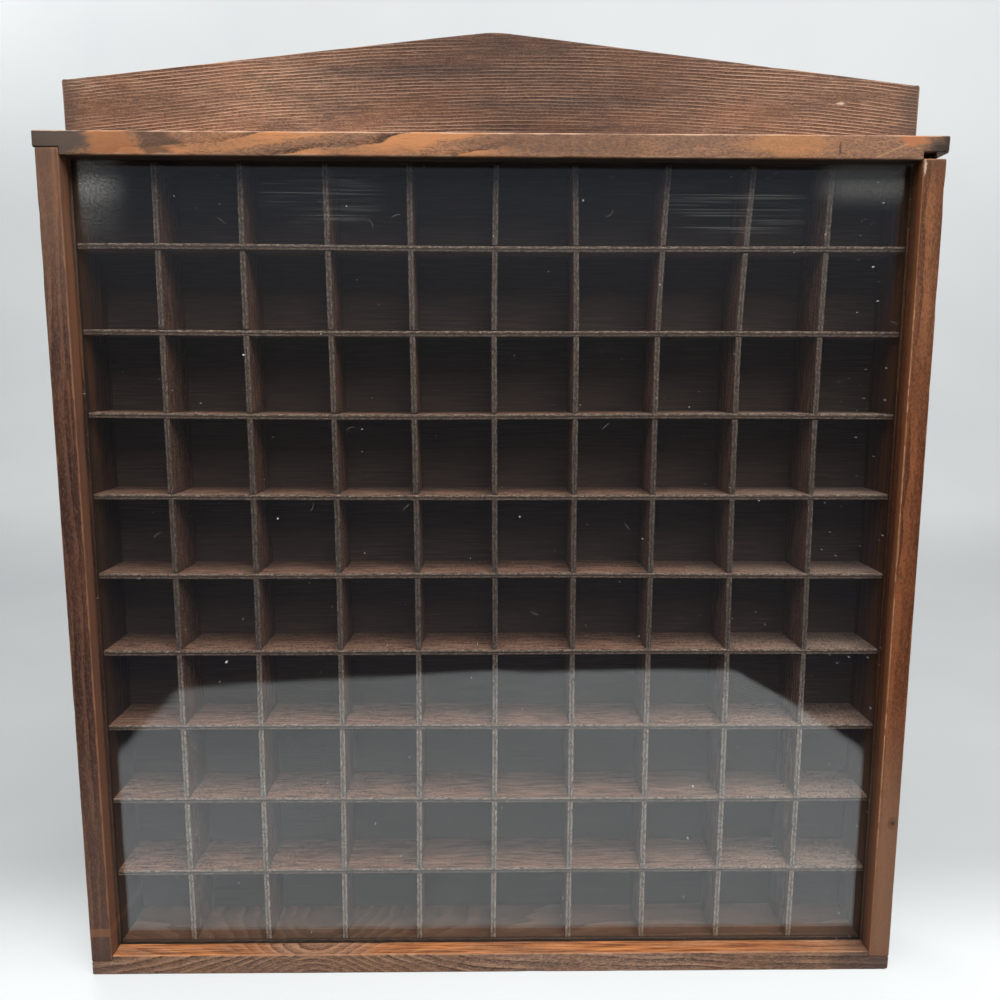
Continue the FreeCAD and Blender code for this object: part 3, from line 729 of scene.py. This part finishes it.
def glass_material():
    """Clear pane that lets lamps through, with dust, lint, faint level wipes and hazy upper corners."""
    graph = new_material("dusty_glass")
    x, _, z = graph.place()
    flat = (x, z, 0)
    specks = dust_specks(x, z, spacing=14, largest=0.5).most(dust_specks(x, z, spacing=5, largest=0.22))
    specks = specks.most(dust_specks(x, z, spacing=3.1, largest=0.26) * x.fade(150, 176))
    fibres = lint(x, z, spacing=46, half_length=2.2, half_width=0.08) * 0.13
    wipes = lumps(flat, (80, 0.4, 1)).fade(0.54, 0.7)
    rubbed = smear((x, z), (-76, 368), (32, 17)) * 0.15 + smear((x, z), (106, 364), (42, 16)) * 0.1
    grain = lumps(flat, (1, 0.8, 1), 2, 0.7).grey((0.4, 0.3), (0.6, 1))
    haze = (corner_haze(x, z) + 0.008) * grain
    soil = (specks * 0.85 + fibres + wipes * rubbed + haze).least(0.9)
    glass = graph.principled(
        Base_Color=(0.97, 0.985, 0.98, 1), Roughness=0, IOR=1.5, Transmission_Weight=1)
    dust = graph.add("ShaderNodeBsdfDiffuse", {"Color": srgb(226, 226, 222)})
    soiled = graph.add("ShaderNodeMixShader", {0: soil, 1: glass, 2: dust})
    path = graph.outputs("ShaderNodeLightPath", {})
    through = path["Is Shadow Ray"].most(path["Is Diffuse Ray"])
    clear = graph.add("ShaderNodeBsdfTransparent", {"Color": (0.92, 0.93, 0.925, 1)})
    return graph.finish(graph.add("ShaderNodeMixShader", {0: through, 1: soiled, 2: clear}))


@dataclass
class Wear:
    """How finely a mesh is cut and how its surface and arrises are worn, in millimetres."""

    step: float
    shortest_arris: float
    segments: int
    wobble: float
    lump: float
    dent: float
    dent_length: float


BOARD_WEAR = Wear(
    step=5, shortest_arris=1.2, segments=2, wobble=0.07, lump=22, dent=0.6, dent_length=14)
STRIP_WEAR = Wear(
    step=2.6, shortest_arris=0.6, segments=1, wobble=0.09, lump=3.4, dent=0.6, dent_length=4)
JOIN_WITHIN = 0.002
FLAT_WITHIN = math.radians(1)
SHARP_ARRIS = math.radians(40)
SMOOTH_BELOW = math.radians(35)


def set_material(piece, material):
    """Gives a piece one material all over."""
    piece.data.materials.clear()
    piece.data.materials.append(material)


def clean_copy(node):
    """A node's mesh with its split corners joined and its flat faces whole."""
    work = bmesh.new()
    work.from_mesh(nodes[node].data)
    bmesh.ops.remove_doubles(work, verts=work.verts, dist=JOIN_WITHIN * MM)
    bmesh.ops.dissolve_limit(work, angle_limit=FLAT_WITHIN, verts=work.verts, edges=work.edges)
    return work


def slice_along(work, axis, low, high, step):
    """Cuts a mesh across its length, so that its arrises have points to wear at."""
    count = max(1, round((high - low) / step))
    normal = Vector((0, 0, 0))
    normal[axis] = 1
    for number in range(count):
        point = Vector((0, 0, 0))
        point[axis] = low + (number + 0.5) * (high - low) / count
        everything = work.verts[:] + work.edges[:] + work.faces[:]
        bmesh.ops.bisect_plane(work, geom=everything, plane_co=point, plane_no=normal, dist=0.01 * MM)


def arrises(work, shortest):
    """The sharp edges that are long enough not to be the rim of a small hole."""
    chosen = []
    for edge in work.edges:
        if len(edge.link_faces) == 2 and edge.calc_length() > shortest:
            if edge.calc_face_angle(0) > SHARP_ARRIS:
                chosen.append(edge)
    return chosen


def eased_copy(node, axis, arris, style):
    """A node's mesh, cut across its length and with eased arrises, and the points along them."""
    low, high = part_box(node)
    work = clean_copy(node)
    slice_along(work, axis, low[axis], high[axis], style.step * MM)
    edges = arrises(work, style.shortest_arris * MM)
    rounded = bmesh.ops.bevel(
        work, geom=edges, offset=arris * MM, offset_type="OFFSET", segments=style.segments, profile=0.5,
        affect="EDGES", clamp_overlap=False)
    return work, set(rounded["verts"])


def wear(work, seed, style, arris_points):
    """Bends a mesh's surface a little, and dents its arrises."""
    shift = Vector((seed * 7.31, seed * 3.17, seed * 5.53))
    dent_length = style.dent_length * MM
    work.normal_update()
    for vertex in work.verts:
        vertex.co += noise.noise_vector(vertex.co / (style.lump * MM) + shift) * (style.wobble * MM)
        if vertex in arris_points:
            hollow = noise.noise(vertex.co / dent_length + shift * 2)
            fine = noise.noise(vertex.co / (dent_length * 0.3) + shift * 3)
            depth = max(0, hollow + 0.45 * fine - 0.4) * style.dent * MM
            vertex.co -= vertex.normal * depth


def to_piece(work, name, node, body, material):
    """Makes a piece of a finished mesh and lets it stand for its node."""
    mesh = bpy.data.meshes.new(name)
    work.normal_update()
    work.to_mesh(mesh)
    work.free()
    piece = bpy.data.objects.new(name, mesh)
    bpy.context.scene.collection.objects.link(piece)
    mesh.shade_smooth()
    mesh.set_sharp_from_angle(angle=SMOOTH_BELOW)
    flat_faces = piece.modifiers.new("flat_faces", "WEIGHTED_NORMAL")
    flat_faces.keep_sharp = True
    set_material(piece, material)
    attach(piece, body)
    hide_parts(node)


def worn_board(node, axis, arris, seed, material, shape):
    """A board with eased, slightly dented arrises in place of its sharp node."""
    work, arris_points = eased_copy(node, axis, arris, BOARD_WEAR)
    wear(work, seed, BOARD_WEAR, arris_points)
    if shape:
        shape(work)
    to_piece(work, f"{node}_worn", node, "case", material)


@dataclass
class Bend:
    """How one divider strays sideways from a straight line, in millimetres."""

    belly: float = 0
    belly_height: float = 170
    top: float = 0


BENDS = {
    "divider_1": Bend(belly=-0.9, belly_height=327),
    "divider_3": Bend(belly=2.3),
    "divider_4": Bend(belly=1.9, belly_height=150),
    "divider_5": Bend(belly=1.2, belly_height=110, top=1.2),
    "divider_6": Bend(belly=1, belly_height=130, top=-1.1),
    "divider_7": Bend(top=3),
    "divider_8": Bend(belly=0.8, belly_height=60, top=3.7),
    "divider_9": Bend(top=1.2)}
BELLY_REACH = 110
TOP_BEND_FROM = 300
TOP_BEND_LENGTH = 82
NOTCH_REACH = 14
STRIP_ARRIS = 0.22


def stray(divider, height):
    """How far a divider lies from its straight line at a height in millimetres."""
    bend = BENDS.get(divider, Bend())
    from_belly = (height - bend.belly_height) / BELLY_REACH
    up = max(0, (height - TOP_BEND_FROM) / TOP_BEND_LENGTH)
    return (bend.belly * math.exp(-from_belly ** 2) + bend.top * up ** 1.6) * MM


def bend_divider(work, node):
    """Moves a divider's points sideways by its bend."""
    for vertex in work.verts:
        vertex.co.x += stray(node, vertex.co.z / MM)


def bend_notches(work, node):
    """Moves a shelf's notches along it, so that the bent dividers still pass through them."""
    low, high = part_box(node)
    height = (low.z + high.z) / (2 * MM)
    moves = []
    for divider in DIVIDERS:
        divider_low, divider_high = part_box(divider)
        moves.append(((divider_low.x + divider_high.x) / 2, stray(divider, height)))
    for vertex in work.verts:
        start = vertex.co.x
        for middle, move in moves:
            nearness = 1 - abs(start - middle) / (NOTCH_REACH * MM)
            if nearness > 0:
                vertex.co.x += move * min(1, 1.25 * nearness)


def sway(work, seed, axis, thin, low, high):
    """Gives a strip a slight bow across its thickness."""
    chance = random.Random(seed)
    reach = chance.uniform(0.15, 0.45) * MM
    phase = chance.uniform(0, 2 * math.pi)
    waves = chance.uniform(0.6, 1.4)
    for vertex in work.verts:
        turn = 2 * math.pi * waves * (vertex.co[axis] - low[axis]) / (high[axis] - low[axis]) + phase
        vertex.co[thin] += reach * math.sin(turn)


def worn_strip(node, along, look, seed, bend):
    """A strip with fuzzy sawn edges, a slight bow, and a divider's bend or the notches that follow it."""
    axis, thin = (0, 2) if along == "X" else (2, 0)
    low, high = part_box(node)
    work, arris_points = eased_copy(node, axis, STRIP_ARRIS, STRIP_WEAR)
    across_plies = work.verts.layers.float.new(ACROSS_PLIES)
    for vertex in work.verts:
        vertex[across_plies] = (vertex.co[thin] - (low[thin] + high[thin]) / 2) / MM
    wear(work, seed, STRIP_WEAR, arris_points)
    sway(work, seed, axis, thin, low, high)
    bend(work, node)
    to_piece(work, f"{node}_sawn", node, "case", strip_material(node, along, look))


TORN_ROWS = 8
FOOT_RADIUS = 2.2


def torn_joint(work):
    """Leaves a torn wedge of wood hanging under the top board's right end, over the short side."""
    low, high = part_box("top_board")
    side_low, side_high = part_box("right_side")
    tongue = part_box("left_side")[1].z
    chance = random.Random(21)
    rows = []
    for number in range(TORN_ROWS):
        y = low.y + (0.3 + 1.6 * number) * MM
        lowest = side_high.z + (0.2 + chance.uniform(0, 0.5) + 0.12 * number) * MM
        start = (side_low.x + side_high.x) / 2 + (0.3 + chance.uniform(-0.4, 0.4)) * MM
        section = ((start, tongue + 0.4 * MM), (start + 0.3 * MM, lowest),
                   (high.x - 0.5 * MM, tongue - 0.15 * MM), (high.x - 0.7 * MM, tongue + 0.4 * MM))
        rows.append([work.verts.new((x, y, z)) for x, z in section])
    faces = [work.faces.new(rows[0]), work.faces.new(rows[-1])]
    for row, following in zip(rows, rows[1:]):
        for corner in range(4):
            after = (corner + 1) % 4
            faces.append(work.faces.new((row[corner], row[after], following[after], following[corner])))
    bmesh.ops.recalc_face_normals(work, faces=faces)


def rounded_foot(work):
    """Rounds the bottom board's lower right corner, which is worn the most."""
    low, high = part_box("bottom_board")
    radius = FOOT_RADIUS * MM
    for vertex in work.verts:
        inward = Vector((high.x - vertex.co.x, vertex.co.z - low.z))
        if inward.x < radius and inward.y < radius:
            from_centre = Vector((radius - inward.x, radius - inward.y))
            if from_centre.length > radius:
                from_centre *= radius / from_centre.length
                vertex.co.x = high.x - radius + from_centre.x
                vertex.co.z = low.z + radius - from_centre.y


def make_boards():
    """The five boards."""
    for node, arris, seed, look, marks, painted_shade, shape in (
            ("pediment", 0.7, 11, PEDIMENT_LOOK, pediment_marks, None, None),
            ("top_board", 0.7, 12, TOP_LOOK, top_board_marks, top_board_painted_shade, torn_joint),
            ("bottom_board", 0.8, 13, BOTTOM_LOOK, bottom_board_marks, bottom_board_painted_shade, rounded_foot),
            ("left_side", 0.7, 14, LEFT_LOOK, left_side_marks, LEFT_LIP.painted_shade, None),
            ("right_side", 0.7, 15, RIGHT_LOOK, right_side_marks, RIGHT_LIP.painted_shade, None)):
        material = board_material(node, look, marks, painted_shade)
        worn_board(node, "XYZ".index(look.along), arris, seed, material, shape)


def make_grid():
    """The crossed strips."""
    for number, node in enumerate(SHELVES):
        worn_strip(node, "X", SHELF_EDGE, 40 + number, bend_notches)
    for number, node in enumerate(DIVIDERS):
        worn_strip(node, "Z", DIVIDER_EDGE, 60 + number, bend_divider)


def dress_hardware():
    """Materials and eased edges for the pieces whose shape is right as it is."""
    brads = steel_material("brad_steel", (142, 132, 122), (74, 62, 54))
    screws = steel_material("screw_steel", (186, 180, 162), (128, 116, 92))
    black_screws = steel_material("black_screw_steel", (46, 41, 38), (26, 23, 22))
    plates = steel_material("hanger_steel", (192, 188, 174), (136, 126, 104))
    for node in ("corner_brads_top", "corner_brads_bottom", "back_panel_brads"):
        set_material(nodes[node], brads)
    set_material(nodes["pediment_screws"], black_screws)
    set_material(nodes["hanger_screws"], screws)
    for node in ("hanger_plate_left", "hanger_plate_right"):
        set_material(nodes[node], plates)
    set_material(nodes["back_panel"], back_panel_material())
    set_material(nodes["glass_pane"], glass_material())
    for node, width in (("hanger_plate_left", 0.2), ("hanger_plate_right", 0.2), ("glass_pane", 0.25)):
        easing = nodes[node].modifiers.new("eased", "BEVEL")
        easing.width = width * MM
        easing.segments = 2
        easing.limit_method = "ANGLE"


# How far the floor shows bright in the glass, to the sides and to the front, in millimetres: the front border
# is skewed, and the right one is cut off beyond a distance from the case
SHEET_SIDE = 290
SHEET_REACH = 415
SHEET_SKEW = 0.16
CORNER_CUT_FROM = 245
CORNER_CUT = 0.27
# The sweep of floor and backdrop, in metres
SWEEP_HALF_WIDTH = 4
SWEEP_FRONT = -3
SWEEP_BACK = 0.75
SWEEP_RADIUS = 0.6
SWEEP_HEIGHT = 3
SWEEP_STEPS = 12
# How bright the far floor and backdrop look, where the sweep runs out
PALE_LEVEL = 0.78


def lit_sheet(place):
    """How brightly the glass mirrors the floor: up to 1 near the case, dimmer far off and at the left."""
    x, y, _ = place
    uneven = wander(place, (110, 110, 110), 2, 26)
    ahead = FRONT - y + uneven
    reach = x.least(0) * SHEET_SKEW + SHEET_REACH
    front = (ahead - reach).fade(11, -11)
    past_cut = (ahead - CORNER_CUT_FROM).most(0)
    right = x + past_cut * CORNER_CUT + uneven * 0.5 - SHEET_SIDE
    left = x * -1 + uneven * 0.5 - SHEET_SIDE
    dimmer = x.fade(120, -200) * 0.2 + 0.07
    level = 1 - ahead.fade(100, 330) * dimmer
    return front * right.fade(6, -6) * left.fade(6, -6) * level


def ray_kinds(graph):
    """The light path's outputs, whether a ray was mirrored, and whether it shows, also through glass."""
    path = graph.outputs("ShaderNodeLightPath", {})
    mirrored = path["Is Glossy Ray"] * graph.math("GREATER_THAN", path["Glossy Depth"], 0.5)
    seen = path["Is Camera Ray"].most(path["Is Transmission Ray"] * (1 - mirrored))
    return path, mirrored, seen


def stage_material():
    """Pale paper, which throws little light back at the case and is bright in the glass only near it. Where
    seen, it glows with painted light and shade, brighter towards the front, the top and the right.
    """
    graph = new_material("pale_paper")
    place = graph.place()
    x, y, z = place
    path, mirrored, seen = ray_kinds(graph)
    paper = lumps(place, (180, 180, 180)).ramp((0.3, (146, 149, 151)), (0.7, (152, 155, 156)))
    sheet = lit_sheet(place)
    colour = path["Is Diffuse Ray"].mix(paper, srgb(90, 90, 90))
    colour = mirrored.mix(colour, sheet.mix(srgb(25, 32, 48), srgb(232, 240, 246)))
    # Painted light and shade: the seen glow is brighter towards the front, the top and the right
    upright = z.fade(80, 0) * -0.1 + z.fade(150, 900) * 0.2
    level = (y.fade(90, -50) * 0.4 + upright + x.fade(-900, 900) * 0.14 + 0.24) * seen
    far = abs(x).most(y * -1).most(z).fade(1250, 2400) * seen
    colour = far.mix(colour, (0, 0, 0, 1))
    level = graph.math("MULTIPLY_ADD", PALE_LEVEL - level, far, level)
    across_sheet = x.fade(-250, 250) * 0.16 + 0.12
    return graph.finish(graph.principled(
        Base_Color=colour, Roughness=0.8, Specular_IOR_Level=0.1,
        Emission_Color=srgb(250, 254, 255), Emission_Strength=level + sheet * mirrored * across_sheet))


def make_stage():
    """A floor that sweeps up into a backdrop."""
    profile = [(SWEEP_FRONT, 0), (SWEEP_BACK, 0)]
    for number in range(1, SWEEP_STEPS + 1):
        angle = number / SWEEP_STEPS * math.pi / 2
        profile.append((SWEEP_BACK + SWEEP_RADIUS * math.sin(angle), SWEEP_RADIUS * (1 - math.cos(angle))))
    profile.append((SWEEP_BACK + SWEEP_RADIUS, SWEEP_HEIGHT))
    points = [(side * SWEEP_HALF_WIDTH, y, z) for y, z in profile for side in (-1, 1)]
    faces = [(2 * n, 2 * n + 1, 2 * n + 3, 2 * n + 2) for n in range(len(profile) - 1)]
    mesh = bpy.data.meshes.new("stage_sweep")
    mesh.from_pydata(points, [], faces)
    mesh.shade_smooth()
    sweep = bpy.data.objects.new("stage_sweep", mesh)
    bpy.context.scene.collection.objects.link(sweep)
    set_material(sweep, stage_material())


AMBIENT = (0.15, 0.155, 0.16, 1)
PALE_SKY = (0.74, 0.77, 0.78, 1)
MIRRORED_LOW = (0.012, 0.017, 0.028, 1)
MIRRORED_HIGH = (0.175, 0.2, 0.25, 1)


def make_world():
    """Soft light from all round, pale to look at. The glass mirrors a dimmer one, which brightens upwards."""
    world = bpy.data.worlds.new("soft_light")
    bpy.context.scene.world = world
    graph = Graph(world)
    upward = graph.parts(graph.add("ShaderNodeTexCoord", {}, "Generated"))[2]
    _, mirrored, seen = ray_kinds(graph)
    in_the_glass = upward.fade(-0.02, 0.22).mix(MIRRORED_LOW, MIRRORED_HIGH)
    light = mirrored.mix(AMBIENT, in_the_glass)
    background = graph.add("ShaderNodeBackground", {"Color": seen.mix(light, PALE_SKY)})
    graph.finish(background, "ShaderNodeOutputWorld")


WARM_WHITE = (1, 0.98, 0.95)
PLAIN_WHITE = (1, 1, 1)
CASE_MIDDLE = (0, 0, 0.2)
CASE_FOOT = (0, 0, 0)


def soft_lamp(name, place, target, size, power, colour):
    """A square area lamp that faces a target."""
    data = bpy.data.lights.new(name, "AREA")
    data.shape = "SQUARE"
    data.size = size
    data.energy = power
    data.color = colour
    lamp = bpy.data.objects.new(name, data)
    bpy.context.scene.collection.objects.link(lamp)
    lamp.location = place
    lamp.rotation_mode = "QUATERNION"
    lamp.rotation_quaternion = (Vector(target) - Vector(place)).to_track_quat("-Z", "Y")


def make_lamps():
    """A broad lamp above, in front and to the right, and weaker ones at the left, above and behind."""
    soft_lamp("key_lamp", (0.45, -1.05, 1.7), CASE_MIDDLE, 1.5, 43, WARM_WHITE)
    soft_lamp("left_lamp", (-1.1, -1.1, 1.45), CASE_MIDDLE, 1.1, 7.5, WARM_WHITE)
    soft_lamp("top_lamp", (0, 0.1, 1.9), CASE_FOOT, 1.2, 12, PLAIN_WHITE)
    soft_lamp("rear_lamp", (-0.9, 1.2, 1.3), CASE_MIDDLE, 0.8, 15, PLAIN_WHITE)


# Where the photograph was taken from, worked out from the case's vanishing points
PHOTO_PIXELS = 1000
FOCAL_PIXELS = 872.8
SENSOR = 36
CAMERA_TO_FRONT = 0.390
CAMERA_SIDE = -0.0025
CAMERA_HEIGHT = 0.2907
CAMERA_PITCH = math.radians(8.28)
CAMERA_YAW = math.radians(-0.80)
CAMERA_ROLL = math.radians(0.15)


def make_camera():
    """The photograph's viewpoint."""
    data = bpy.data.cameras.new("photo_camera")
    data.sensor_width = SENSOR
    data.lens = SENSOR * FOCAL_PIXELS / PHOTO_PIXELS
    data.clip_start = 0.01
    data.clip_end = 50
    camera = bpy.data.objects.new("photo_camera", data)
    bpy.context.scene.collection.objects.link(camera)
    turn = (Matrix.Rotation(CAMERA_YAW, 4, "Z") @ Matrix.Rotation(math.pi / 2 - CAMERA_PITCH, 4, "X")
            @ Matrix.Rotation(CAMERA_ROLL, 4, "Z"))
    place = Vector((CAMERA_SIDE, cad_low.y - CAMERA_TO_FRONT, CAMERA_HEIGHT))
    camera.matrix_world = Matrix.Translation(place) @ turn
    bpy.context.scene.camera = camera


make_boards()
make_grid()
dress_hardware()
make_stage()
make_world()
make_lamps()
make_camera()
bpy.context.scene.view_settings.view_transform = "Standard"
